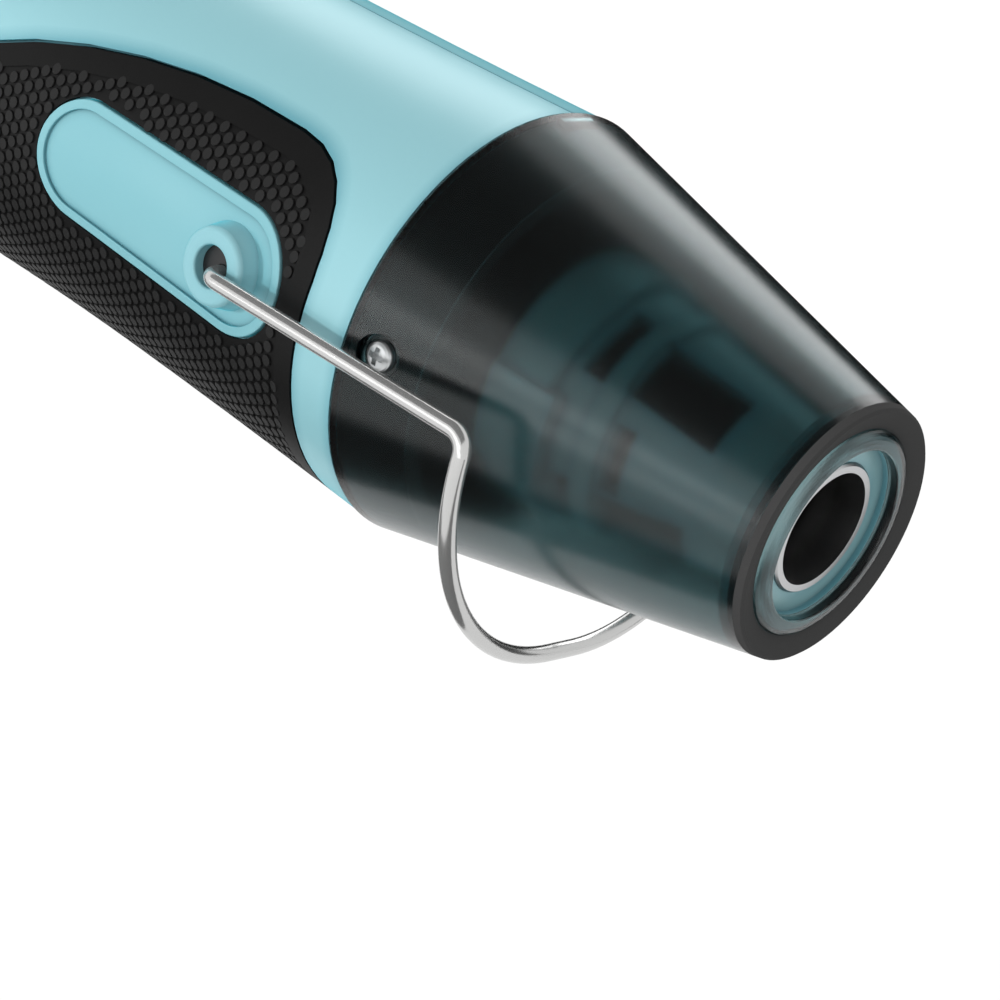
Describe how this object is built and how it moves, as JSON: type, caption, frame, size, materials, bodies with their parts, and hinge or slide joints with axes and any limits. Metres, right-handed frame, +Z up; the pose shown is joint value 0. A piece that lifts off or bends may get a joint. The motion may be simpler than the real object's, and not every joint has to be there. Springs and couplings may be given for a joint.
{
  "type": "embossing heat tool",
  "caption": "Hand-held hot-air blower for craft embossing: round body with soft grips, steel outlet in a see-through guard, wire stand, slide switch.",
  "frame": {"origin": "centre of the mouth of the steel air outlet", "axes": "+X along the tool's long axis, out of the outlet; +Z up through the switch, with the stand's loop below; +Y to the tool's left"},
  "size_m": [0.2399, 0.068, 0.0661],
  "materials": {
    "shell_plastic": "satin",
    "neck_plastic": "satin",
    "grip_rubber": "matte, dotted",
    "smoky_plastic": "frosted, see-through",
    "black_plastic": "satin",
    "white_plastic": "satin",
    "gland_rubber": "matte",
    "tube_steel": "brushed",
    "screw_steel": "satin",
    "stand_chrome": "polished",
    "mica": "matte",
    "coil_wire": "oxidised",
    "brass": "satin",
    "copper": "varnished copper and steel",
    "board": "varnished",
    "capacitor_sleeve": "shrink sleeve",
    "lead_sleeve": "satin"
  },
  "bodies": {
    "housing": {"right_shell": "shell_plastic", "left_shell": "shell_plastic", "right_grip": "grip_rubber", "left_grip": "grip_rubber", "nozzle_guard": "smoky_plastic", "nozzle_neck": "neck_plastic", "front_collar": "black_plastic", "guard_screws": "screw_steel", "outlet_tube": "tube_steel", "mica_sleeve": "mica", "mica_plate_upright": "mica", "mica_plate_flat": "mica", "heating_coil": "coil_wire", "thermal_cutout": "brass", "air_duct": "black_plastic", "motor_can": "tube_steel", "motor_end_cap": "white_plastic", "motor_bearings": "brass", "motor_terminals": "brass", "motor_mount": "black_plastic", "motor_screws": "screw_steel", "pivot_bushes": "black_plastic", "switch_body": "black_plastic", "circuit_board": "board", "rectifier_diodes": "black_plastic", "filter_capacitor": "capacitor_sleeve", "lead_wires": "lead_sleeve", "cord_clamp": "black_plastic", "clamp_screws": "screw_steel", "rear_cap": "black_plastic", "cord_gland": "gland_rubber", "shell_screws": "screw_steel"},
    "rotor": {"fan": "black_plastic", "motor_shaft": "tube_steel", "motor_armature": "copper"},
    "stand": {"stand_wire": "stand_chrome"},
    "switch": {"switch_knob": "black_plastic"}
  },
  "joints": [
    {"name": "fan_spin", "type": "hinge", "parent": "housing", "child": "rotor", "pos_m": [-0.11, 0, 0], "axis": [1, 0, 0], "continuous": true},
    {"name": "stand_swing", "type": "hinge", "parent": "housing", "child": "stand", "pos_m": [-0.0759, 0, -0.0015], "axis": [0, 1, 0], "range_deg": [-10, 108]},
    {"name": "switch_slide", "type": "slide", "parent": "housing", "child": "switch", "axis": [1, 0, 0], "range_m": [0, 0.008]}
  ]
}
